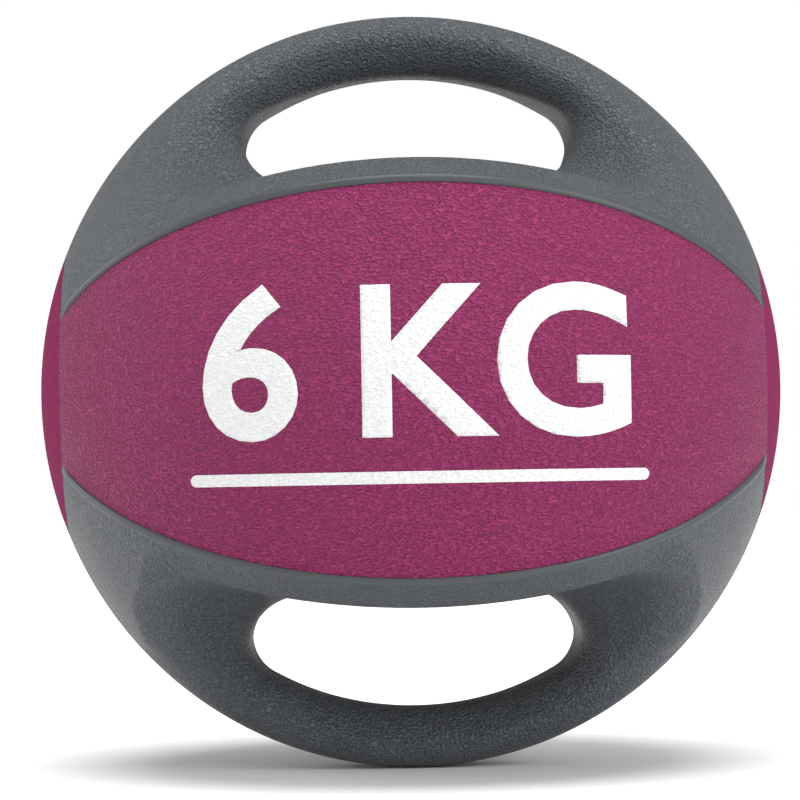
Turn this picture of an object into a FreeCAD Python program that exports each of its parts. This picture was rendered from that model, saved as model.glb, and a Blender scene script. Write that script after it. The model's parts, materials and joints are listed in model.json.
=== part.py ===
import FreeCAD, Part
import math
import os

from FreeCAD import Vector

# Medicine ball with two moulded hand grips.
# Millimetres. The origin is the centre of the ball. +Z runs up through the middle of the
# upper grip, +X through the right side cap, and the front panel faces -Y.
# Every piece is drawn on a true sphere and then drawn out by HEIGHT_RATIO along Z,
# because the ball stands a little taller than it is wide.

# ---- driving dimensions -------------------------------------------------------------
BALL_RADIUS = 136.0
HEIGHT_RATIO = 1.0158
SKIN = 3.0                      # thickness of the coloured rubber skin
BORDER_ANGLE = 28.5             # degrees from the XY plane to a panel's border plane
CAP_PLANE = 125.4               # |x| where the round side caps begin

GRIP_THICKNESS = 21.2           # grip, measured along the ball's radius
GRIP_DEPTH = 38.0               # grip, measured front to back at its middle
OUTER_ROUND = 10.0              # rounding of the grip's and webs' outer edges
SLOT_ROUND = 9.0                # rounding of the hand slot's rim
SLOT_LENGTH = 120.6             # hand slot, end to end
SLOT_CORNER = 17.0              # rounding of the slot's corners beside the grip
SLOT_FLOOR = 75.4               # height of the slot's floor above the centre
FLOOR_ARCH_RADIUS = 280.0       # the floor falls away gently towards its ends
SHELF_SLOPE = 0.449             # fall of the shelf from the floor out to the border
SHELF_RADIUS = 163.0            # the shelf is part of a leaning cylinder of this radius
SHELF_LIP = 1.0                 # the shelf starts this far above the border, behind the bead
RELIEF_RADIUS = 185.0           # ball-shaped relief for the fingers, front and rear
RELIEF_HEIGHT = 112.0            # height of the relief's centre

BEAD_WIDTH = 3.7                # smooth rib on the grip moulding beside each panel
BEAD_HEIGHT = 1.0

CORE_WALL = 15.0                # thick rubber wall around the hollow middle
CAVITY_SIDE = 105.0             # the hollow ends at +-this x, under the side caps
BAG_WALL = 1.5                  # rubber bag that holds the grit
GRIT_DEPTH = 13.5               # settled grit, above the bag's floor

BAR_DIAMETER = 12.0             # stiffening bar inside each grip
BAR_HALF_ANGLE = 48.0

BOSS_RADIUS = 18.0              # locating boss of a side cap, in the core's counterbore
BOSS_DEPTH = 4.0
NECK_RADIUS = 11.0
NECK_BORE = 7.0
FLANGE_RADIUS = 15.0
FLANGE_THICKNESS = 2.0
PLUG_HEAD_RADIUS = 12.0
PLUG_HEAD_THICKNESS = 2.0
PLUG_END_SETBACK = 2.0          # the plug stops this far short of the neck's inner end
POCKET_CLEARANCE = 0.5

# ---- worked out from the dimensions above -------------------------------------------
BORDER_TAN = math.tan(math.radians(BORDER_ANGLE))
SLOT_END = SLOT_LENGTH / 2
SLOT_OUTER = BALL_RADIUS - GRIP_THICKNESS
BAR_ARC_RADIUS = BALL_RADIUS - GRIP_THICKNESS / 2
REACH = 2 * BALL_RADIUS         # longer than any piece, for cutting tools

ORIGIN = Vector(0, 0, 0)
X_AXIS = Vector(1, 0, 0)
Y_AXIS = Vector(0, 1, 0)
Z_AXIS = Vector(0, 0, 1)


def ball(radius, centre=ORIGIN):
    """Whole sphere with its poles on the X axis of the ball."""
    return Part.makeSphere(radius, centre, X_AXIS, -90, 90, 360)


def slab(x_half, y_half, z_half):
    """Block centred on the origin."""
    corner = Vector(-x_half, -y_half, -z_half)
    return Part.makeBox(2 * x_half, 2 * y_half, 2 * z_half, corner)


def disc(radius, x_start, x_end, bore=0.0):
    """Round piece on the X axis, from x_start to x_end, with an optional bore."""
    length = abs(x_end - x_start)
    direction = X_AXIS if x_end > x_start else -X_AXIS
    body = Part.makeCylinder(radius, length, Vector(x_start, 0, 0), direction)
    if bore > 0:
        body = body.cut(Part.makeCylinder(bore, length, Vector(x_start, 0, 0), direction))
    return body


def prism_along_x(points_yz, x_half):
    """Closed outline in the YZ plane, drawn from -x_half to +x_half."""
    corners = [Vector(-x_half, y, z) for y, z in points_yz]
    outline = Part.makePolygon(corners + corners[:1])
    return Part.Face(outline).extrude(Vector(2 * x_half, 0, 0))


def front_wedge():
    """Space between the two border planes in front of the X axis."""
    rise = REACH * BORDER_TAN
    return prism_along_x([(0, 0), (-REACH, -rise), (-REACH, rise)], CAP_PLANE)


def upper_wedge():
    """Space above both border planes, between the side caps."""
    rise = REACH * BORDER_TAN
    outline = [(0, 0), (-REACH, rise), (-REACH, 2 * REACH), (REACH, 2 * REACH), (REACH, rise)]
    return prism_along_x(outline, CAP_PLANE)


def rear_of(shape):
    return shape.mirror(ORIGIN, Y_AXIS)


def lower_of(shape):
    return shape.mirror(ORIGIN, Z_AXIS)


def shelf_space(inset):
    """Space under the front shelf: a leaning cylinder whose straight lines run from the
    border up to the slot's floor at SHELF_SLOPE."""
    tilt = math.hypot(1, SHELF_SLOPE)
    uphill = Vector(0, 1, SHELF_SLOPE) / tilt
    outward = Vector(0, -SHELF_SLOPE, 1) / tilt
    border = math.radians(BORDER_ANGLE)
    border_middle = Vector(0, -math.cos(border), math.sin(border)) * BALL_RADIUS
    top = border_middle.dot(outward) + SHELF_LIP
    start = outward * (top - SHELF_RADIUS) - uphill * REACH
    return Part.makeCylinder(SHELF_RADIUS - inset, 2 * REACH, start, uphill)


def floor_space(inset):
    """Space under the arched floor of the upper hand slot."""
    start = Vector(0, -REACH, SLOT_FLOOR - FLOOR_ARCH_RADIUS)
    return Part.makeCylinder(FLOOR_ARCH_RADIUS - inset, 2 * REACH, start, Y_AXIS)


def body(inset=0.0):
    """The ball without its grips: under both slot floors and all four shelves.

    With an inset, every face but the ends moves inward by that much.
    """
    space = ball(BALL_RADIUS - inset)
    for shelf in (shelf_space(inset), rear_of(shelf_space(inset))):
        space = space.common(shelf).common(lower_of(shelf))
    floor = floor_space(inset)
    return space.common(floor).common(lower_of(floor))


def core_envelope():
    """Outside shape of the thick rubber core."""
    return body(SKIN).common(slab(CAP_PLANE, REACH, REACH))


def cavity(inset=0.0):
    """Hollow middle of the core, or the same space drawn in by inset."""
    limits = slab(CAVITY_SIDE - inset, REACH, REACH)
    return body(SKIN + CORE_WALL + inset).common(limits)


# ---- coloured skin -------------------------------------------------------------------
def front_panel():
    shell = ball(BALL_RADIUS).cut(ball(BALL_RADIUS - SKIN))
    return shell.common(front_wedge())


def side_cap(side, plug_pocket):
    """Round cap beyond CAP_PLANE, with a boss that sits in the core's counterbore."""
    outside = Part.makeBox(REACH, 2 * REACH, 2 * REACH, Vector(CAP_PLANE, -REACH, -REACH))
    cap = ball(BALL_RADIUS).common(outside)
    boss_end = CAP_PLANE - BOSS_DEPTH
    cap = cap.fuse(disc(BOSS_RADIUS, CAP_PLANE, boss_end))
    if plug_pocket:
        pocket_radius = PLUG_HEAD_RADIUS + POCKET_CLEARANCE
        pocket_depth = PLUG_HEAD_THICKNESS + POCKET_CLEARANCE
        cap = cap.cut(disc(pocket_radius, boss_end, boss_end + pocket_depth))
    cap = cap.removeSplitter()
    return cap if side > 0 else cap.mirror(ORIGIN, X_AXIS)


# ---- grip mouldings ------------------------------------------------------------------
def slot_tool():
    """Hand slot through the moulding, front to back, open below the slot's floor."""
    corner_x = SLOT_END - SLOT_CORNER
    corner_z = math.sqrt((SLOT_OUTER - SLOT_CORNER) ** 2 - corner_x ** 2)
    to_arc = SLOT_OUTER / (SLOT_OUTER - SLOT_CORNER)
    to_bend = SLOT_CORNER / math.hypot(1, 1)
    bottom = SLOT_FLOOR / 2

    def at(x, z):
        return Vector(x, -REACH, z)

    def right_corner(sign):
        arc_end = at(sign * corner_x * to_arc, corner_z * to_arc)
        bend = at(sign * (corner_x + to_bend), corner_z + to_bend)
        wall_end = at(sign * SLOT_END, corner_z)
        return arc_end, bend, wall_end

    right_arc, right_bend, right_wall = right_corner(1)
    left_arc, left_bend, left_wall = right_corner(-1)
    edges = [
        Part.Arc(left_arc, at(0, SLOT_OUTER), right_arc).toShape(),
        Part.Arc(right_arc, right_bend, right_wall).toShape(),
        Part.makeLine(right_wall, at(SLOT_END, bottom)),
        Part.makeLine(at(SLOT_END, bottom), at(-SLOT_END, bottom)),
        Part.makeLine(at(-SLOT_END, bottom), left_wall),
        Part.Arc(left_wall, left_bend, left_arc).toShape(),
    ]
    return Part.Face(Part.Wire(edges)).extrude(Vector(0, 2 * REACH, 0))


def relieved_ball():
    """The ball with the front finger relief taken out and the rim between them rounded.

    Both surfaces and the rounding turn about the line from the ball's centre to the
    relief's centre, so the body is one outline turned about that line.
    """
    relief_centre = Vector(0, -RELIEF_RADIUS - GRIP_DEPTH / 2, RELIEF_HEIGHT)
    distance = relief_centre.Length
    axis = relief_centre / distance
    across = X_AXIS
    to_ball = BALL_RADIUS - OUTER_ROUND
    to_relief = RELIEF_RADIUS + OUTER_ROUND
    along = (distance ** 2 + to_ball ** 2 - to_relief ** 2) / (2 * distance)
    round_centre = axis * along + across * math.sqrt(to_ball ** 2 - along ** 2)

    def toward(centre, point, radius):
        return centre + (point - centre) / (point - centre).Length * radius

    def middle(centre, start, end, radius):
        return toward(centre, (start + end) / 2, radius)

    back = axis * -BALL_RADIUS
    ball_end = toward(ORIGIN, round_centre, BALL_RADIUS)
    relief_start = toward(relief_centre, round_centre, RELIEF_RADIUS)
    relief_end = relief_centre - axis * RELIEF_RADIUS
    rim = toward(round_centre, (ball_end + relief_start) / 2, OUTER_ROUND)
    relief_middle = middle(relief_centre, relief_start, relief_end, RELIEF_RADIUS)
    edges = [
        Part.Arc(back, across * BALL_RADIUS, ball_end).toShape(),
        Part.Arc(ball_end, rim, relief_start).toShape(),
        Part.Arc(relief_start, relief_middle, relief_end).toShape(),
        Part.makeLine(relief_end, back),
    ]
    return Part.Face(Part.Wire(edges)).revolve(ORIGIN, axis, 360)


def slot_rim(arch):
    """Edges around the hand slot's front and rear openings, above its floor."""
    chosen = []
    wall = slot_tool().Shells[0]
    for edge in arch.Edges:
        middle = edge.valueAt((edge.FirstParameter + edge.LastParameter) / 2)
        off_seam = abs(middle.y) > GRIP_DEPTH / 4
        on_wall = wall.distToShape(Part.Vertex(middle))[0] < 0.01
        in_reach = middle.z > SLOT_FLOOR * 0.8 and abs(middle.y) < SLOT_END
        if off_seam and on_wall and in_reach:
            chosen.append(edge)
    return chosen


def grip_arch():
    """Grip and its two webs, above the core, with the hand slot cut and rounded."""
    arch = relieved_ball().common(rear_of(relieved_ball()))
    arch = arch.common(upper_wedge()).cut(core_envelope()).cut(slot_tool())
    return arch.makeFillet(SLOT_ROUND, slot_rim(arch))


def bead():
    """Rib on the moulding beside the front border: the edge of a ring, in front of y=0."""
    half = BEAD_WIDTH / 2
    ring_radius = (half ** 2 + BEAD_HEIGHT ** 2) / (2 * BEAD_HEIGHT)
    border = math.radians(BORDER_ANGLE)
    away = Vector(0, math.sin(border), math.cos(border))
    centre_radius = BALL_RADIUS + BEAD_HEIGHT - ring_radius
    ring = Part.makeTorus(centre_radius, ring_radius, away * half, away)
    front_half = Part.makeBox(2 * REACH, REACH, REACH, Vector(-REACH, -REACH, 0))
    return ring.common(upper_wedge()).common(front_half).cut(core_envelope())


def grip_bar():
    """Arc of round bar buried in the middle of the grip."""
    half_angle = math.radians(BAR_HALF_ANGLE)
    start = Vector(-math.sin(half_angle), 0, math.cos(half_angle)) * BAR_ARC_RADIUS
    along = Vector(math.cos(half_angle), 0, math.sin(half_angle))
    section = Part.Face(Part.Wire(Part.makeCircle(BAR_DIAMETER / 2, start, along)))
    return section.revolve(ORIGIN, Y_AXIS, 2 * BAR_HALF_ANGLE)


def upper_grip():
    moulding = body().cut(core_envelope()).common(upper_wedge()).fuse(grip_arch())
    moulding = moulding.fuse(bead()).fuse(rear_of(bead())).removeSplitter()
    return moulding.cut(grip_bar())


# ---- core and ballast ----------------------------------------------------------------
def core_half(front):
    core = core_envelope().cut(cavity())
    for side in (-1, 1):
        core = core.cut(disc(BOSS_RADIUS, side * (CAP_PLANE - BOSS_DEPTH), side * REACH))
    flange_seat = CAP_PLANE - BOSS_DEPTH - FLANGE_THICKNESS
    core = core.cut(disc(FLANGE_RADIUS, -flange_seat, -REACH))
    core = core.cut(disc(NECK_RADIUS, -(CAVITY_SIDE - 2 * BAG_WALL), -REACH))
    near = -REACH if front else 0.0
    half_space = Part.makeBox(2 * REACH, REACH, 2 * REACH, Vector(-REACH, near, -REACH))
    return core.common(half_space)


def ballast_bag():
    bag = cavity().cut(cavity(BAG_WALL))
    return bag.cut(disc(NECK_RADIUS, -(CAVITY_SIDE - 2 * BAG_WALL), -REACH))


def ballast_grit():
    """Grit settled to a level layer in the bottom of the bag."""
    bag_floor = -(SLOT_FLOOR - SKIN - CORE_WALL - BAG_WALL)
    layer = Part.makeBox(2 * REACH, 2 * REACH, REACH, Vector(-REACH, -REACH, -REACH))
    layer.translate(Vector(0, 0, bag_floor + GRIT_DEPTH))
    return cavity(BAG_WALL).common(layer)


def fill_neck():
    face = CAP_PLANE - BOSS_DEPTH
    tube = disc(NECK_RADIUS, -(CAVITY_SIDE - BAG_WALL), -face)
    flange = disc(FLANGE_RADIUS, -(face - FLANGE_THICKNESS), -face)
    bore = disc(NECK_BORE, -(CAVITY_SIDE - 2 * BAG_WALL), -REACH)
    return tube.fuse(flange).removeSplitter().cut(bore)


def fill_plug():
    face = CAP_PLANE - BOSS_DEPTH
    shank = disc(NECK_BORE, -(CAVITY_SIDE - BAG_WALL + PLUG_END_SETBACK), -face)
    head = disc(PLUG_HEAD_RADIUS, -face, -(face + PLUG_HEAD_THICKNESS))
    return shank.fuse(head).removeSplitter()


# ---- build and save ------------------------------------------------------------------
def drawn_out(shape):
    """The same piece, taller by HEIGHT_RATIO."""
    taller = FreeCAD.Matrix()
    taller.scale(1, 1, HEIGHT_RATIO)
    return shape.transformGeometry(taller)


def main():
    grip = upper_grip()
    panel = front_panel()
    bar = grip_bar()
    nodes = {
        "front_panel": panel,
        "rear_panel": rear_of(panel),
        "left_side_cap": side_cap(-1, plug_pocket=True),
        "right_side_cap": side_cap(1, plug_pocket=False),
        "upper_grip": grip,
        "lower_grip": lower_of(grip),
        "front_core_half": core_half(front=True),
        "rear_core_half": core_half(front=False),
        "upper_grip_bar": bar,
        "lower_grip_bar": lower_of(bar),
        "ballast_bag": ballast_bag(),
        "ballast_grit": ballast_grit(),
        "fill_neck": fill_neck(),
        "fill_plug": fill_plug(),
    }
    os.makedirs("parts", exist_ok=True)
    for name, shape in nodes.items():
        piece = drawn_out(shape)
        piece.exportStep(os.path.join("parts", name + ".step"))
        box = piece.BoundBox
        print("%-16s valid %s solids %d volume %.1f cm3  z %.1f..%.1f" % (
            name, piece.isValid(), len(piece.Solids), piece.Volume / 1000, box.ZMin, box.ZMax))


main()
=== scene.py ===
import json
import math

import bmesh
import bpy
import numpy as np
from mathutils import Matrix, Vector


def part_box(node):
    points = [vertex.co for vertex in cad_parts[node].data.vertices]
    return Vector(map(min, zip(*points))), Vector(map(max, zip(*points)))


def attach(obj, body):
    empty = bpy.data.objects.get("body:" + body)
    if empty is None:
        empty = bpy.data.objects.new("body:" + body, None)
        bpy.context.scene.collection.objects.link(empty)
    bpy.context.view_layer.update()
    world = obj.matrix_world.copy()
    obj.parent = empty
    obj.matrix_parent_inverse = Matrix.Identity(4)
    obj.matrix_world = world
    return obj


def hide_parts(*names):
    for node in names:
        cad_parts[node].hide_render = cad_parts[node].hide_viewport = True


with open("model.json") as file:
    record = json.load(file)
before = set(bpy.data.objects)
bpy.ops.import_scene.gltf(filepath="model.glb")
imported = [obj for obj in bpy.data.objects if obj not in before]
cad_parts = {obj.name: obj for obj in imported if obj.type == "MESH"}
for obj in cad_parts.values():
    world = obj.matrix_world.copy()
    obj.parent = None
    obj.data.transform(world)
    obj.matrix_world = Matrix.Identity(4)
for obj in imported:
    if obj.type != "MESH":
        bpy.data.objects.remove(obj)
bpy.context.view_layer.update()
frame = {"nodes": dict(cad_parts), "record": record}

# Medicine ball with two moulded hand grips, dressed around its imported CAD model.
# Metres throughout, in the CAD model's frame: origin at the ball's centre, +Z up through
# the upper grip, front panel facing -Y. Pieces are drawn on a true ball and then drawn
# out by TALL along Z, as the CAD model is.

MM = 0.001

# ---- sizes read from the frame --------------------------------------------------------
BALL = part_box("right_side_cap")[1].x
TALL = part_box("upper_grip")[1].z / BALL
CAP_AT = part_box("front_panel")[1].x
BORDER = math.asin(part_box("front_panel")[1].z / (BALL * TALL))
CAP_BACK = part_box("right_side_cap")[0].x

# ---- driving sizes shared with the CAD model --------------------------------------------
SKIN = 3.0 * MM                 # thickness of the panels and side caps
GRIP_DEPTH = 38.0 * MM          # grip from front to rear, at its middle
SLOT_END = 60.3 * MM            # half the hand slot's length
SLOT_CORNER = 17.0 * MM         # between the slot's end walls and the grip
SLOT_FLOOR = 75.4 * MM          # height of the slot's floor
FLOOR_ARCH = 280.0 * MM         # radius of its slight arch
SHELF_SLOPE = 0.449             # shelf between border and slot floor, falling outward
SHELF_RADIUS = 163.0 * MM       # radius of the shelf from side to side
SHELF_LIP = 1.0 * MM            # step from the border up to the shelf
RELIEF_RADIUS = 185.0 * MM      # ball that hollows the webs in front and behind
RELIEF_HEIGHT = 112.0 * MM      # height of its middle
OUTER_ROUND = 10.0 * MM         # outer edges of the grip and webs
CAP_BOSS = 18.0 * MM            # radius of the boss behind each side cap

# ---- shape that the visual model has softer or larger than the CAD model ----------------
GRIP_THICKNESS = 21.7 * MM      # half a millimetre more, to make up for the rounder rim
SLOT_ROUND = 17.0 * MM          # rim of the hand slot
TIP_ROUND = 28.0 * MM           # outer edge of the webs toward the side caps
TIP_ROUND_FROM = 60.0 * MM      # distance to the side from which it grows
TIP_ROUND_TO = 115.0 * MM
CROWN_ROUND = 6.0 * MM          # edge between slot floor and shelf
BORDER_ROUND = 1.0 * MM         # edge between shelf and ball
SLOT_FILLET = 22.0 * MM         # slot's end walls into its floor
WEB_FILLET = 48.0 * MM          # webs into the shelf, beside the slot
WEB_FILLET_FROM = 15.0 * MM     # distance from the middle plane from which it grows
WEB_FILLET_TO = 50.0 * MM
TIP_FILLET = 92.0 * MM          # webs into the shelf, toward the side caps
TIP_FILLET_FROM = 58.0 * MM
TIP_FILLET_TO = 98.0 * MM
CROWN_LEAN = 0.912              # cosines of the angles between neighbouring surfaces
BORDER_LEAN = 0.80
SLOT_RIM_LEAN = 0.32
WEB_LEAN = 0.45
BEAD_HALF = 1.85 * MM           # half the bead's width
BEAD_HEIGHT = 1.1 * MM
BEAD_TAIL = 2.3 * MM            # far side of the bead, which runs down onto the shelf
BEAD_TAIL_FALL = 4.0 * MM
BEAD_FADE = 9.0 * MM            # at each end the bead sinks into the ball over this length
BEAD_ROOT = 2.5 * MM            # depth of its two feet under the ball's surface
BEAD_TAIL_ROOT = 6.0 * MM
EDGE_ROUND = 0.15 * MM          # rounding of the skin pieces' edges
EDGE_STEPS = 4
NET_STEP = 1.6 * MM             # size of the grip mesh's faces

# ---- printed weight ---------------------------------------------------------------------
MARK_SIZE = 68.0 * MM
MARK_BOLD = 1.6 * MM
MARK_RAISE = 3.0 * MM
MARK_BAR_AT = -32.0 * MM
MARK_BAR_LENGTH = 150.0 * MM
MARK_BAR_HEIGHT = 4.0 * MM
MARK_STRIP = 3.0 * MM           # the flat lettering is cut this narrow before it bends
MARK_PROUD = 0.08 * MM
MARK_SINK = 0.5 * MM


# ======================================================================================
# Mesh helpers
# ======================================================================================
def new_mesh(name, points, faces, smooth=True):
    """Adds a mesh object to the scene."""
    mesh = bpy.data.meshes.new(name)
    mesh.from_pydata([tuple(p) for p in points], [], [tuple(f) for f in faces])
    mesh.validate()
    mesh.update()
    mesh.polygons.foreach_set("use_smooth", [smooth] * len(mesh.polygons))
    piece = bpy.data.objects.new(name, mesh)
    bpy.context.scene.collection.objects.link(piece)
    return piece


def outward(piece):
    """Makes all faces of a closed piece look outward."""
    work = bmesh.new()
    work.from_mesh(piece.data)
    bmesh.ops.recalc_face_normals(work, faces=work.faces)
    work.to_mesh(piece.data)
    work.free()
    return piece


def drawn_out(points):
    """Points of the true ball, moved to where they lie on the taller one."""
    taller = np.array(points, dtype=float)
    taller[:, 2] *= TALL
    return taller


def length(*parts):
    """Length of a vector given by its parts."""
    return np.sqrt(sum(part * part for part in parts))


def corner_distance(a, b, lean):
    """Distance to the line where two surfaces meet, from the distances to each. Lean is
    the cosine of the angle between the surfaces' outward directions."""
    squared = (a * a + b * b - 2 * lean * a * b) / (1 - lean * lean)
    return np.sqrt(np.maximum(squared, 0))


def inside_both(a, b, radius, lean=0.0):
    """Distance to the overlap of two shapes, with the edge between them rounded."""
    a, b = a + radius, b + radius
    in_corner = (a > lean * b) & (b > lean * a)
    return np.where(in_corner, corner_distance(a, b, lean), np.maximum(a, b)) - radius


def inside_either(a, b, radius, lean=0.0):
    """Distance to two shapes together, with the corner between them filled."""
    return -inside_both(-a, -b, radius, lean)


def smooth_step(value, start, end):
    """0 up to start, 1 from end on, with a soft rise between."""
    t = np.clip((value - start) / (end - start), 0, 1)
    return t * t * (3 - 2 * t)


# ======================================================================================
# Grip moulding: a shape given by its distance field, meshed as a net of even faces
# ======================================================================================
def grip_distance(x, y, z):
    """Signed distance to the upper grip moulding, negative inside, on the true ball."""
    side, depth = np.abs(x), np.abs(y)
    ball = length(side, depth, z) - BALL

    tilt = math.hypot(1, SHELF_SLOPE)
    shelf_top = BALL * (math.sin(BORDER) + SHELF_SLOPE * math.cos(BORDER)) / tilt + SHELF_LIP
    climb = (z + SHELF_SLOPE * depth) / tilt
    shelf = length(side, climb - shelf_top + SHELF_RADIUS) - SHELF_RADIUS
    floor = length(side, z - SLOT_FLOOR + FLOOR_ARCH) - FLOOR_ARCH
    below = inside_both(shelf, floor, CROWN_ROUND, CROWN_LEAN)
    below = inside_both(below, ball, BORDER_ROUND, BORDER_LEAN)

    relief_at = -RELIEF_RADIUS - GRIP_DEPTH / 2
    relief = RELIEF_RADIUS - length(side, -depth - relief_at, z - RELIEF_HEIGHT)
    toward_tip = smooth_step(side, TIP_ROUND_FROM, TIP_ROUND_TO)
    outer_edge = OUTER_ROUND + (TIP_ROUND - OUTER_ROUND) * toward_tip
    arch = inside_both(ball, relief, outer_edge)
    slot_top = BALL - GRIP_THICKNESS
    opening = inside_both(length(side, z) - slot_top, side - SLOT_END,
                          SLOT_CORNER, SLOT_END / slot_top)
    toward_end = smooth_step(side, 0.5 * SLOT_END, 0.95 * SLOT_END)
    arch = inside_both(arch, -opening, SLOT_ROUND, SLOT_RIM_LEAN * toward_end)

    outside_slot = smooth_step(depth, WEB_FILLET_FROM, WEB_FILLET_TO)
    beside_slot = smooth_step(side, TIP_FILLET_FROM, TIP_FILLET_TO)
    web_fillet = WEB_FILLET + (TIP_FILLET - WEB_FILLET) * beside_slot
    fillet = SLOT_FILLET + (web_fillet - SLOT_FILLET) * outside_slot
    moulding = np.maximum(inside_either(arch, below, fillet, WEB_LEAN * outside_slot), ball)

    # It stops under the bead, at the side caps and at the core.
    border = depth * math.sin(BORDER) - z * math.cos(BORDER) + BEAD_HALF / 2
    core_ball = BALL - SKIN - length(side, depth, z)
    core = np.maximum(np.maximum(-core_ball, shelf + SKIN), floor + SKIN)
    moulding = np.maximum(moulding, border)
    moulding = np.maximum(moulding, side - CAP_AT)
    return np.maximum(moulding, -core)


def net_points(field, low, step):
    """Surface net of a sampled distance field: one point per cell that the surface crosses."""
    cells = tuple(n - 1 for n in field.shape)
    total = np.zeros(cells + (3,))
    count = np.zeros(cells)
    crossings = []
    for axis in range(3):
        first = [slice(None)] * 3
        second = [slice(None)] * 3
        first[axis], second[axis] = slice(0, -1), slice(1, None)
        f0, f1 = field[tuple(first)], field[tuple(second)]
        at = np.argwhere((f0 < 0) != (f1 < 0))
        v0, v1 = f0[tuple(at.T)], f1[tuple(at.T)]
        spot = at.astype(float)
        spot[:, axis] += v0 / (v0 - v1)
        crossings.append((axis, at, v0 < 0))
        others = [a for a in range(3) if a != axis]
        for back_a in (0, 1):
            for back_b in (0, 1):
                cell = at.copy()
                cell[:, others[0]] -= back_a
                cell[:, others[1]] -= back_b
                ok = np.all((cell >= 0) & (cell < np.array(cells)), axis=1)
                where = tuple(cell[ok].T)
                np.add.at(total, where, spot[ok])
                np.add.at(count, where, 1)
    active = np.argwhere(count > 0)
    where = tuple(active.T)
    points = np.array(low) + step * total[where] / count[where][:, None]
    index = np.full(cells, -1, dtype=int)
    index[where] = np.arange(len(active))
    quads = []
    for axis, at, starts_inside in crossings:
        b, c = [(1, 2), (2, 0), (0, 1)][axis]
        corners = []
        for step_b, step_c in ((-1, -1), (0, -1), (0, 0), (-1, 0)):
            cell = at.copy()
            cell[:, b] += step_b
            cell[:, c] += step_c
            corners.append(index[tuple(cell.T)])
        quad = np.stack(corners, axis=1)
        quad[~starts_inside] = quad[~starts_inside][:, ::-1]
        quads.append(quad)
    return points, np.concatenate(quads)


def onto_surface(distance, points, rounds):
    """Moves points along the field's slope until they lie on the surface."""
    reach = 0.02 * MM
    for _ in range(rounds):
        x, y, z = points.T
        value = distance(x, y, z)
        slope = np.stack([
            distance(x + reach, y, z) - distance(x - reach, y, z),
            distance(x, y + reach, z) - distance(x, y - reach, z),
            distance(x, y, z + reach) - distance(x, y, z - reach),
        ], axis=1) / (2 * reach)
        size = np.maximum((slope * slope).sum(axis=1), 0.25)
        move = slope * (value / size)[:, None]
        points = points - np.clip(move, -NET_STEP, NET_STEP)
    return points


def evened(points, quads):
    """Each point moved halfway to the middle of its neighbours."""
    total = np.zeros_like(points)
    count = np.zeros(len(points))
    for a, b in ((0, 1), (1, 2), (2, 3), (3, 0)):
        for start, end in ((a, b), (b, a)):
            np.add.at(total, quads[:, start], points[quads[:, end]])
            np.add.at(count, quads[:, start], 1)
    return (points + total / count[:, None]) / 2


def grip_net():
    """Points and four-sided faces of the upper grip moulding, on the true ball."""
    margin = 3 * NET_STEP
    low = np.array([-CAP_AT, -BALL * math.cos(BORDER), CAP_AT * 0.1]) - margin
    high = np.array([CAP_AT, BALL * math.cos(BORDER), BALL]) + margin
    # Half a step off the middle planes, so that the net is the same on both sides of them.
    counts = [2 * int((high[i] - low[i]) / NET_STEP / 2 + 1) for i in range(3)]
    axes = []
    for i in range(2):
        axes.append((np.arange(counts[i]) - (counts[i] - 1) / 2) * NET_STEP)
    axes.append(low[2] + np.arange(counts[2]) * NET_STEP)
    x, y, z = np.meshgrid(*axes, indexing="ij")
    points, quads = net_points(grip_distance(x, y, z), [a[0] for a in axes], NET_STEP)
    for _ in range(2):
        points = onto_surface(grip_distance, evened(points, quads), 1)
    return onto_surface(grip_distance, points, 4), quads


def grip(name, sign, points, quads):
    """The moulding itself (sign 1), or its mirror image under the ball (sign -1)."""
    placed = drawn_out(points)
    faces = quads
    if sign < 0:
        placed = placed * np.array([1, 1, -1])
        faces = quads[:, ::-1]
    return new_mesh(name, placed, faces.tolist())


net, net_faces = grip_net()
upper_grip = grip("upper_grip_moulding", 1, net, net_faces)
lower_grip = grip("lower_grip_moulding", -1, net, net_faces)
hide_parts("upper_grip")
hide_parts("lower_grip")


# ======================================================================================
# Bead: smooth rib along each border, on the grip's side of it
# ======================================================================================
def bead(name, front, up):
    """A rib swept along the border's circle; its far side runs down into the shelf."""
    steps, section_steps = 220, 18
    reach = math.asin(CAP_AT / BALL)
    border_dir = np.array([0, front * math.cos(BORDER), up * math.sin(BORDER)])
    off_plane = np.array([0, -front * math.sin(BORDER), up * math.cos(BORDER)])
    section = []
    for i in range(section_steps + 1):
        turn = math.pi * i / section_steps
        half_width = BEAD_HALF if turn < math.pi / 2 else BEAD_TAIL
        fall = BEAD_HEIGHT if turn < math.pi / 2 else BEAD_TAIL_FALL
        a = BEAD_HALF - half_width * math.cos(turn)
        section.append((a, BEAD_HEIGHT - fall * (1 - math.sin(turn))))
    rows = []
    for k in range(steps + 1):
        angle = -reach + 2 * reach * k / steps
        radial = np.array([1, 0, 0]) * math.sin(angle) + border_dir * math.cos(angle)
        fade = smooth_step(reach - abs(angle), 0, BEAD_FADE / BALL)
        row = [radial * (BALL - BEAD_ROOT)]
        for a, height in section:
            row.append(off_plane * a + radial * (BALL + min(height, fade * height)))
        row.append(off_plane * section[-1][0] + radial * (BALL - BEAD_TAIL_ROOT))
        rows.append(row)
    across = len(rows[0])
    points = np.array([p for row in rows for p in row])
    points[:, 0] = np.clip(points[:, 0], -CAP_AT, CAP_AT)
    faces = []
    for k in range(steps):
        for j in range(across):
            nxt = (j + 1) % across
            faces.append((k * across + j, k * across + nxt,
                          (k + 1) * across + nxt, (k + 1) * across + j))
    faces.append(tuple(range(across)))
    faces.append(tuple(steps * across + j for j in reversed(range(across))))
    return outward(new_mesh(name, drawn_out(points), faces))


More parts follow.
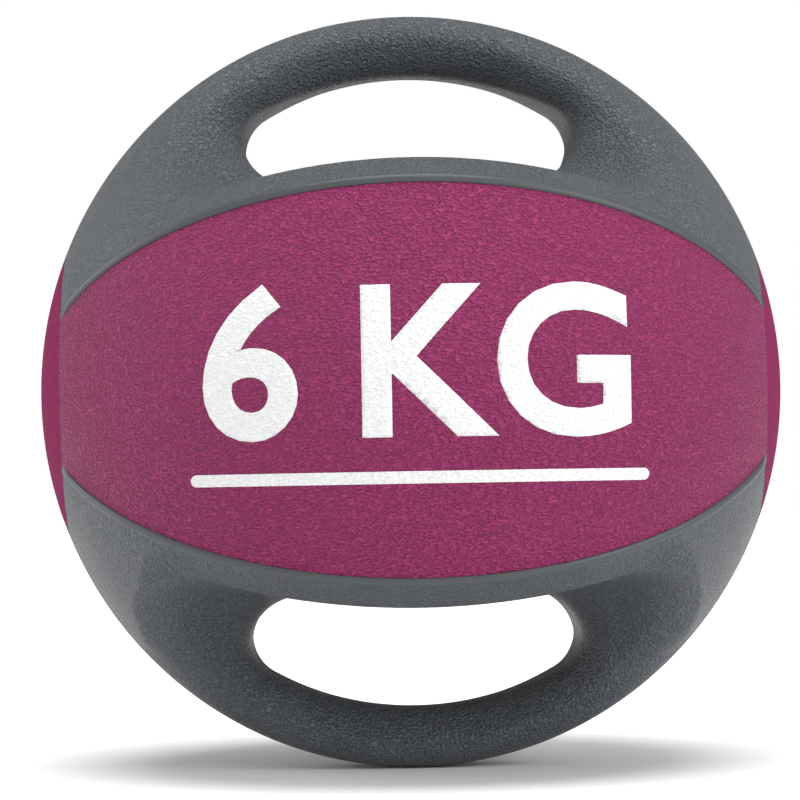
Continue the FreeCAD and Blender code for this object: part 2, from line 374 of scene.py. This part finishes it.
beads = [
    bead("upper_front_bead", -1, 1),
    bead("upper_rear_bead", 1, 1),
    bead("lower_front_bead", -1, -1),
    bead("lower_rear_bead", 1, -1),
]


# ======================================================================================
# Coloured skin: two panels and two side caps
# ======================================================================================
def panel(name, front):
    """Skin between two border planes, with rounded edges."""
    columns, rows = 200, 84

    def at(s, t, inset, radius):
        x = radius * math.sin(s * math.asin((CAP_AT - inset) / radius))
        ring = math.sqrt(radius ** 2 - x ** 2)
        theta = t * (BORDER - math.asin(inset / ring))
        return (x, front * ring * math.cos(theta), ring * math.sin(theta))

    grid = [(2 * i / columns - 1, 2 * j / rows - 1)
            for j in range(rows + 1) for i in range(columns + 1)]
    width = columns + 1
    rim = list(range(columns))
    rim += [columns + j * width for j in range(rows)]
    rim += [rows * width + columns - i for i in range(columns)]
    rim += [(rows - j) * width for j in range(rows)]
    points = [at(s, t, EDGE_ROUND, BALL) for s, t in grid]
    faces = []
    for j in range(rows):
        for i in range(columns):
            a = j * width + i
            faces.append((a, a + 1, a + 1 + width, a + width))
    last_ring = rim
    for k in range(1, EDGE_STEPS + 1):
        turn = math.radians(90 * k / EDGE_STEPS)
        inset = EDGE_ROUND * (1 - math.sin(turn))
        radius = BALL - EDGE_ROUND * (1 - math.cos(turn))
        base = len(points)
        points += [at(*grid[i], inset, radius) for i in rim]
        ring = list(range(base, base + len(rim)))
        for j in range(len(rim)):
            n = (j + 1) % len(rim)
            faces.append((last_ring[j], last_ring[n], ring[n], ring[j]))
        last_ring = ring
    base = len(points)
    points += [at(s, t, 0, BALL - SKIN) for s, t in grid]
    for j in range(rows):
        for i in range(columns):
            a = base + j * width + i
            faces.append((a, a + width, a + 1 + width, a + 1))
    for j in range(len(rim)):
        n = (j + 1) % len(rim)
        faces.append((last_ring[j], last_ring[n], base + rim[n], base + rim[j]))
    return outward(new_mesh(name, drawn_out(points), faces))


def side_cap(name, side):
    """Round end: a dome with a rounded rim and a boss behind it, turned about X."""
    around, dome_steps = 180, 26
    rim_radius = math.sqrt(BALL ** 2 - CAP_AT ** 2)
    top_angle = math.asin((rim_radius - EDGE_ROUND) / BALL)
    profile = []
    for i in range(1, dome_steps + 1):
        angle = top_angle * i / dome_steps
        profile.append((BALL * math.cos(angle), BALL * math.sin(angle)))
    edge_x, edge_r = profile[-1]
    for k in range(1, EDGE_STEPS + 1):
        turn = math.radians(90 * k / EDGE_STEPS)
        profile.append((edge_x - (edge_x - CAP_AT) * (1 - math.cos(turn)),
                        edge_r + EDGE_ROUND * math.sin(turn)))
    profile += [(CAP_AT, CAP_BOSS), (CAP_BACK, CAP_BOSS)]
    points = [(side * BALL, 0, 0)]
    for x, r in profile:
        for k in range(around):
            turn = 2 * math.pi * k / around
            points.append((side * x, r * math.cos(turn), r * math.sin(turn)))
    points.append((side * CAP_BACK, 0, 0))
    faces = []
    for k in range(around):
        n = (k + 1) % around
        faces.append((0, 1 + k, 1 + n))
        for j in range(len(profile) - 1):
            a = 1 + j * around
            faces.append((a + k, a + around + k, a + around + n, a + n))
        a = 1 + (len(profile) - 1) * around
        faces.append((a + k, len(points) - 1, a + n))
    return outward(new_mesh(name, drawn_out(points), faces))


front_panel = panel("front_panel_skin", -1)
rear_panel = panel("rear_panel_skin", 1)
left_cap = side_cap("left_cap_skin", -1)
right_cap = side_cap("right_cap_skin", 1)
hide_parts("front_panel")
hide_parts("rear_panel")
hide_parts("left_side_cap")
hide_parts("right_side_cap")


# ======================================================================================
# Printed weight on the front panel
# ======================================================================================
def cut_in_strips(flat, reach, strip):
    """Cuts a flat mesh along both its directions, so that it can bend."""
    for direction in (Vector((1, 0, 0)), Vector((0, 1, 0))):
        for i in range(-int(reach / strip), int(reach / strip) + 1):
            everything = flat.verts[:] + flat.edges[:] + flat.faces[:]
            bmesh.ops.bisect_plane(flat, geom=everything, dist=1e-7,
                                   plane_co=direction * (i * strip), plane_no=direction)


def rounded_bar(flat, middle, half_length, half_height):
    """A flat bar with round ends."""
    corners = []
    for side in (1, -1):
        for k in range(13):
            turn = math.radians(-90 + 15 * k)
            x = side * (half_length + half_height * math.cos(turn))
            corners.append(flat.verts.new((x, middle + side * half_height * math.sin(turn), 0)))
    flat.faces.new(corners)


def weight_mark(text):
    """Plain printed weight with a bar under it: a thin film on the panel's front."""
    lettering = bpy.data.curves.new("weight_lettering", "FONT")
    lettering.body = text
    lettering.size = MARK_SIZE
    lettering.offset = MARK_BOLD
    lettering.space_character = 1.05
    lettering.space_word = 0.7
    lettering.align_x = "CENTER"
    lettering.align_y = "CENTER"
    lettering.resolution_u = 6
    holder = bpy.data.objects.new("weight_lettering", lettering)
    bpy.context.scene.collection.objects.link(holder)
    bpy.context.view_layer.update()
    graph = bpy.context.evaluated_depsgraph_get()
    outline = bpy.data.meshes.new_from_object(holder.evaluated_get(graph))
    bpy.data.objects.remove(holder)

    flat = bmesh.new()
    flat.from_mesh(outline)
    bmesh.ops.translate(flat, verts=flat.verts, vec=(0, MARK_RAISE, 0))
    rounded_bar(flat, MARK_BAR_AT, MARK_BAR_LENGTH / 2, MARK_BAR_HEIGHT / 2)
    bmesh.ops.remove_doubles(flat, verts=flat.verts, dist=0.01 * MM)
    cut_in_strips(flat, BALL, MARK_STRIP)
    back = bmesh.ops.extrude_face_region(flat, geom=flat.faces[:])["geom"]
    behind = {v for v in back if isinstance(v, bmesh.types.BMVert)}
    for vert in flat.verts:
        x, z = vert.co.x, vert.co.y
        radius = BALL + (-MARK_SINK if vert in behind else MARK_PROUD)
        vert.co = (x, -math.sqrt(radius ** 2 - x ** 2 - z ** 2), z * TALL)
    bmesh.ops.recalc_face_normals(flat, faces=flat.faces)
    mesh = bpy.data.meshes.new("weight_mark")
    flat.to_mesh(mesh)
    flat.free()
    piece = bpy.data.objects.new("weight_mark", mesh)
    bpy.context.scene.collection.objects.link(piece)
    return piece


weight = weight_mark("6 KG")


# ======================================================================================
# Materials
# ======================================================================================
MAGENTA = (0.234, 0.025, 0.097)
# Painted shade: the side caps are the panels' magenta rubber, coloured darker for the light
# that they catch.
CAP_MAGENTA_PAINTED_SHADE = (0.195, 0.021, 0.077)
GREY = (0.078, 0.086, 0.095)
# Painted shade: the bead is the grip's grey rubber, coloured darker to stand for the shade on
# its lower face and to match the grip's painted groove shade.
BEAD_GREY_PAINTED_SHADE = (0.05, 0.055, 0.06)
PRINT_WHITE = (0.6, 0.605, 0.61)
PANEL_GRAIN = {"grain_size": 1.4, "grain_depth": 1.3 * MM, "stretch": 1.8}
GRIP_GRAIN = {"grain_size": 1.6, "grain_depth": 1.0 * MM, "stretch": 1.0}
GROOVE_BOTTOM = 0.22            # noise values that become a groove and a pebble's top
PEBBLE_TOP = 0.72
PEBBLE_PAINTED_LIGHT = 1.06             # painted light: colour of a pebble's top, a little brighter than the rubber
FINE_SHARE = 0.12               # fine roughness on top of the grain
SMOOTH_RELIEF = 0.03 * MM       # relief of rubber without grain
ROUGHNESS_CHANGE = 0.06


def node(tree, kind, **values):
    """Adds a node. A value whose name starts with in_ goes to the input of that name."""
    made = tree.nodes.new(kind)
    for key, value in values.items():
        if key.startswith("in_"):
            made.inputs[key[3:].replace("_", " ")].default_value = value
        else:
            setattr(made, key, value)
    return made


def grain(tree, millimetres, size, stretch):
    """Leather grain: low pebbles of one size, parted by short grooves. Gives 0 in a groove
    and 1 on a pebble's top."""
    link = tree.links.new
    longer = node(tree, "ShaderNodeVectorMath", operation="MULTIPLY")
    longer.inputs[1].default_value = (1 / stretch, 1 / stretch, 1)
    link(millimetres, longer.inputs[0])
    pebbles = node(tree, "ShaderNodeTexNoise", in_Scale=1.7 / size, in_Detail=1.0,
                   in_Roughness=0.45, in_Distortion=0.5)
    link(longer.outputs[0], pebbles.inputs["Vector"])
    groove = node(tree, "ShaderNodeMapRange", interpolation_type="SMOOTHSTEP")
    groove.inputs["From Min"].default_value = GROOVE_BOTTOM
    groove.inputs["From Max"].default_value = PEBBLE_TOP
    link(pebbles.outputs["Fac"], groove.inputs["Value"])
    return groove.outputs[0]


def rubber(name, colour, roughness, grain_size=0.0, grain_depth=0.0, groove_painted_shade=0.6,
           stretch=1.0, sheen=0.14, colour_change=0.05):
    """Moulded rubber: cloudy tint and roughness, and a pressed grain, with painted shade in its
    grooves and painted light on its pebbles' tops.
    Grain_size is in millimetres, and 0 leaves the rubber smooth."""
    material = bpy.data.materials.new(name)
    material.use_nodes = True
    tree = material.node_tree
    link = tree.links.new
    shader = tree.nodes["Principled BSDF"]
    shader.inputs["Specular IOR Level"].default_value = sheen
    where = node(tree, "ShaderNodeTexCoord")
    millimetres = node(tree, "ShaderNodeVectorMath", operation="SCALE")
    millimetres.inputs["Scale"].default_value = 1 / MM
    link(where.outputs["Object"], millimetres.inputs[0])

    clouds = node(tree, "ShaderNodeTexNoise", in_Scale=0.03, in_Detail=4.0)
    link(millimetres.outputs[0], clouds.inputs["Vector"])
    tint = node(tree, "ShaderNodeMixRGB")
    tint.inputs["Color1"].default_value = [c * (1 - colour_change) for c in colour] + [1]
    tint.inputs["Color2"].default_value = [c * (1 + colour_change) for c in colour] + [1]
    link(clouds.outputs["Fac"], tint.inputs["Fac"])
    dull = node(tree, "ShaderNodeMapRange")
    dull.inputs["To Min"].default_value = roughness - ROUGHNESS_CHANGE
    dull.inputs["To Max"].default_value = roughness + ROUGHNESS_CHANGE
    link(clouds.outputs["Fac"], dull.inputs["Value"])
    link(dull.outputs[0], shader.inputs["Roughness"])

    fine = node(tree, "ShaderNodeTexNoise", in_Scale=1.4, in_Detail=3.0)
    link(millimetres.outputs[0], fine.inputs["Vector"])
    bump = node(tree, "ShaderNodeBump")
    link(bump.outputs[0], shader.inputs["Normal"])
    if grain_size == 0:
        bump.inputs["Distance"].default_value = SMOOTH_RELIEF
        link(fine.outputs["Fac"], bump.inputs["Height"])
        link(tint.outputs[0], shader.inputs["Base Color"])
        return material

    groove = grain(tree, millimetres.outputs[0], grain_size, stretch)
    height = node(tree, "ShaderNodeMath", operation="MULTIPLY_ADD")
    height.inputs[1].default_value = FINE_SHARE
    link(fine.outputs["Fac"], height.inputs[0])
    link(groove, height.inputs[2])
    bump.inputs["Distance"].default_value = grain_depth
    link(height.outputs[0], bump.inputs["Height"])
    # Painted shade and light: the grain's grooves are coloured darker and its pebbles' tops a
    # little lighter, as shade and light would fall on them.
    shaded = node(tree, "ShaderNodeMixRGB", blend_type="MULTIPLY")
    shaded.inputs["Fac"].default_value = 1.0
    shade = node(tree, "ShaderNodeMapRange")
    shade.inputs["To Min"].default_value = groove_painted_shade
    shade.inputs["To Max"].default_value = PEBBLE_PAINTED_LIGHT
    link(groove, shade.inputs["Value"])
    link(tint.outputs[0], shaded.inputs["Color1"])
    link(shade.outputs[0], shaded.inputs["Color2"])
    link(shaded.outputs[0], shader.inputs["Base Color"])
    return material


def moulded_nylon():
    """Off-white bar stock with faint drawing lines along its length."""
    material = bpy.data.materials.new("bar_nylon")
    material.use_nodes = True
    tree = material.node_tree
    shader = tree.nodes["Principled BSDF"]
    where = node(tree, "ShaderNodeTexCoord")
    lines = node(tree, "ShaderNodeTexWave", wave_type="BANDS", bands_direction="Y",
                 in_Scale=400.0, in_Distortion=2.0)
    tree.links.new(where.outputs["Object"], lines.inputs["Vector"])
    tint = node(tree, "ShaderNodeMixRGB")
    tint.inputs["Color1"].default_value = (0.58, 0.58, 0.55, 1)
    tint.inputs["Color2"].default_value = (0.64, 0.64, 0.61, 1)
    tree.links.new(lines.outputs["Fac"], tint.inputs["Fac"])
    tree.links.new(tint.outputs[0], shader.inputs["Base Color"])
    shader.inputs["Roughness"].default_value = 0.4
    return material


def loose_grit():
    """Crushed stone: grains of a few browns and greys, standing up from the layer."""
    material = bpy.data.materials.new("ballast_grit")
    material.use_nodes = True
    tree = material.node_tree
    shader = tree.nodes["Principled BSDF"]
    where = node(tree, "ShaderNodeTexCoord")
    grains = node(tree, "ShaderNodeTexVoronoi", in_Scale=550.0)
    tree.links.new(where.outputs["Object"], grains.inputs["Vector"])
    shades = node(tree, "ShaderNodeValToRGB")
    shades.color_ramp.elements[0].color = (0.16, 0.13, 0.1, 1)
    shades.color_ramp.elements[1].color = (0.5, 0.46, 0.38, 1)
    tree.links.new(grains.outputs["Color"], shades.inputs["Fac"])
    tree.links.new(shades.outputs["Color"], shader.inputs["Base Color"])
    bump = node(tree, "ShaderNodeBump", invert=True)
    bump.inputs["Distance"].default_value = 0.6 * MM
    tree.links.new(grains.outputs["Distance"], bump.inputs["Height"])
    tree.links.new(bump.outputs[0], shader.inputs["Normal"])
    shader.inputs["Roughness"].default_value = 0.9
    return material


def paint(piece, material):
    """Gives a piece its one material."""
    piece.data.materials.clear()
    piece.data.materials.append(material)


# Each grained rubber below carries painted shade in its grooves and painted light on its
# pebbles' tops.
magenta = rubber("magenta_rubber", MAGENTA, 0.5, groove_painted_shade=0.86, **PANEL_GRAIN)
# Side caps: the panels' magenta made darker, as painted shade.
cap_magenta_painted_shade = rubber("cap_magenta_rubber", CAP_MAGENTA_PAINTED_SHADE, 0.7, 1.4, 0.4 * MM, 0.86, sheen=0.02)
grey = rubber("grey_rubber", GREY, 0.45, groove_painted_shade=0.75, sheen=0.4, **GRIP_GRAIN)
# Bead: the grip's grey made darker, as painted shade.
smooth_grey_painted_shade = rubber("grey_bead_rubber", BEAD_GREY_PAINTED_SHADE, 0.42, sheen=0.3)
white_print = rubber("white_print", PRINT_WHITE, 0.45, 1.4, 0.35 * MM, 0.97, 1.8)
inner_materials = {
    "core_rubber": rubber("core_rubber_black", (0.02, 0.02, 0.021), 0.7, 3.0, 0.3 * MM, 0.8),
    "bag_rubber": rubber("bag_rubber_black", (0.05, 0.05, 0.05), 0.6),
    "plug_rubber": rubber("plug_rubber_black", (0.03, 0.03, 0.03), 0.5),
    "bar_nylon": moulded_nylon(),
    "grit": loose_grit(),
}

for piece in (front_panel, rear_panel):
    paint(piece, magenta)
for piece in (left_cap, right_cap):
    paint(piece, cap_magenta_painted_shade)
for piece in (upper_grip, lower_grip):
    paint(piece, grey)
for piece in beads:
    paint(piece, smooth_grey_painted_shade)
paint(weight, white_print)
skin = [front_panel, rear_panel, left_cap, right_cap, weight]
for piece in skin + [upper_grip, lower_grip] + beads:
    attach(piece, "root")

for subpart in frame["record"]["subparts"]:
    cad_piece = frame["nodes"][subpart["node"]]
    if subpart["material_slot"] in inner_materials:
        cad_piece.data.materials.clear()
        cad_piece.data.materials.append(inner_materials[subpart["material_slot"]])


# ======================================================================================
# Stage, light and camera
# ======================================================================================
FLOOR_HALF = 12.0
FLOOR_WHITE = (0.94, 0.94, 0.94, 1)
CAMERA_DISTANCE = 8.5 * BALL
CAMERA_TURN = 1.46              # degrees that it stands left of the front
CAMERA_LOOK_UP = 1.84           # degrees that it looks up
CAMERA_ROLL = 1.0               # degrees that it is held askew
CAMERA_SENSOR = 36.0            # millimetres, as is the lens
CAMERA_LENS = 3.9 * CAMERA_SENSOR
CAMERA_SHIFT_X = -0.0135
CAMERA_SHIFT_Y = -0.0109


def white_stage():
    """A plain floor under the ball."""
    half = FLOOR_HALF
    corners = [(-half, -half, 0), (half, -half, 0), (half, half, 0), (-half, half, 0)]
    floor = new_mesh("floor", corners, [(0, 1, 2, 3)], smooth=False)
    floor.location.z = -BALL * TALL
    material = bpy.data.materials.new("floor_white")
    material.use_nodes = True
    shader = material.node_tree.nodes["Principled BSDF"]
    shader.inputs["Base Color"].default_value = FLOOR_WHITE
    shader.inputs["Roughness"].default_value = 0.9
    floor.data.materials.append(material)


def soft_sun(name, came_from, spread, strength):
    """A large, far soft box: even over the whole floor."""
    lamp = bpy.data.lights.new(name, "SUN")
    lamp.angle = math.radians(spread)
    lamp.energy = strength
    holder = bpy.data.objects.new(name, lamp)
    holder.rotation_euler = (-Vector(came_from)).to_track_quat("-Z", "Y").to_euler()
    bpy.context.scene.collection.objects.link(holder)


def white_world(front, back):
    """White surroundings. The light that they give fades from front to back, and the
    camera sees plain white."""
    world = bpy.data.worlds.new("studio")
    world.use_nodes = True
    tree = world.node_tree
    around = tree.nodes["Background"]
    around.inputs["Color"].default_value = (1, 1, 1, 1)
    where = node(tree, "ShaderNodeTexCoord")
    direction = node(tree, "ShaderNodeSeparateXYZ")
    tree.links.new(where.outputs["Generated"], direction.inputs[0])
    fading = node(tree, "ShaderNodeMapRange")
    fading.inputs["From Min"].default_value = -1.0
    fading.inputs["To Min"].default_value = front
    fading.inputs["To Max"].default_value = back
    tree.links.new(direction.outputs["Y"], fading.inputs["Value"])
    tree.links.new(fading.outputs[0], around.inputs["Strength"])
    backdrop = node(tree, "ShaderNodeBackground", in_Strength=1.0)
    backdrop.inputs["Color"].default_value = (1, 1, 1, 1)
    seen = node(tree, "ShaderNodeLightPath")
    either = node(tree, "ShaderNodeMixShader")
    tree.links.new(seen.outputs["Is Camera Ray"], either.inputs[0])
    tree.links.new(around.outputs[0], either.inputs[1])
    tree.links.new(backdrop.outputs[0], either.inputs[2])
    tree.links.new(either.outputs[0], tree.nodes["World Output"].inputs["Surface"])
    bpy.context.scene.world = world


def camera():
    """Just left of the front and a little below the ball's middle, held a little askew."""
    a, b, c = (math.radians(angle) for angle in (CAMERA_TURN, -CAMERA_LOOK_UP, -CAMERA_ROLL))
    about_z = Matrix(((math.cos(a), -math.sin(a), 0),
                      (math.sin(a), math.cos(a), 0),
                      (0, 0, 1)))
    about_x = Matrix(((1, 0, 0),
                      (0, math.cos(b), -math.sin(b)),
                      (0, math.sin(b), math.cos(b))))
    about_y = Matrix(((math.cos(c), 0, math.sin(c)),
                      (0, 1, 0),
                      (-math.sin(c), 0, math.cos(c))))
    right, ahead, up = about_y @ about_x @ about_z
    lens = bpy.data.cameras.new("camera")
    lens.sensor_width = CAMERA_SENSOR
    lens.lens = CAMERA_LENS
    lens.shift_x = CAMERA_SHIFT_X
    lens.shift_y = CAMERA_SHIFT_Y
    lens.clip_end = 100
    holder = bpy.data.objects.new("camera", lens)
    turned = Matrix((right, up, -ahead)).transposed().to_4x4()
    turned.translation = -CAMERA_DISTANCE * ahead
    holder.matrix_world = turned
    bpy.context.scene.collection.objects.link(holder)
    bpy.context.scene.camera = holder


white_stage()
white_world(0.85, 0.25)
soft_sun("overhead", (0.0, -0.2, 1.0), 45, 2.9)
soft_sun("right_front", (0.85, -0.55, 0.3), 40, 1.9)
soft_sun("left_side", (-1.0, 0.3, 0.2), 50, 1.5)
camera()
bpy.context.scene.view_settings.view_transform = "Standard"
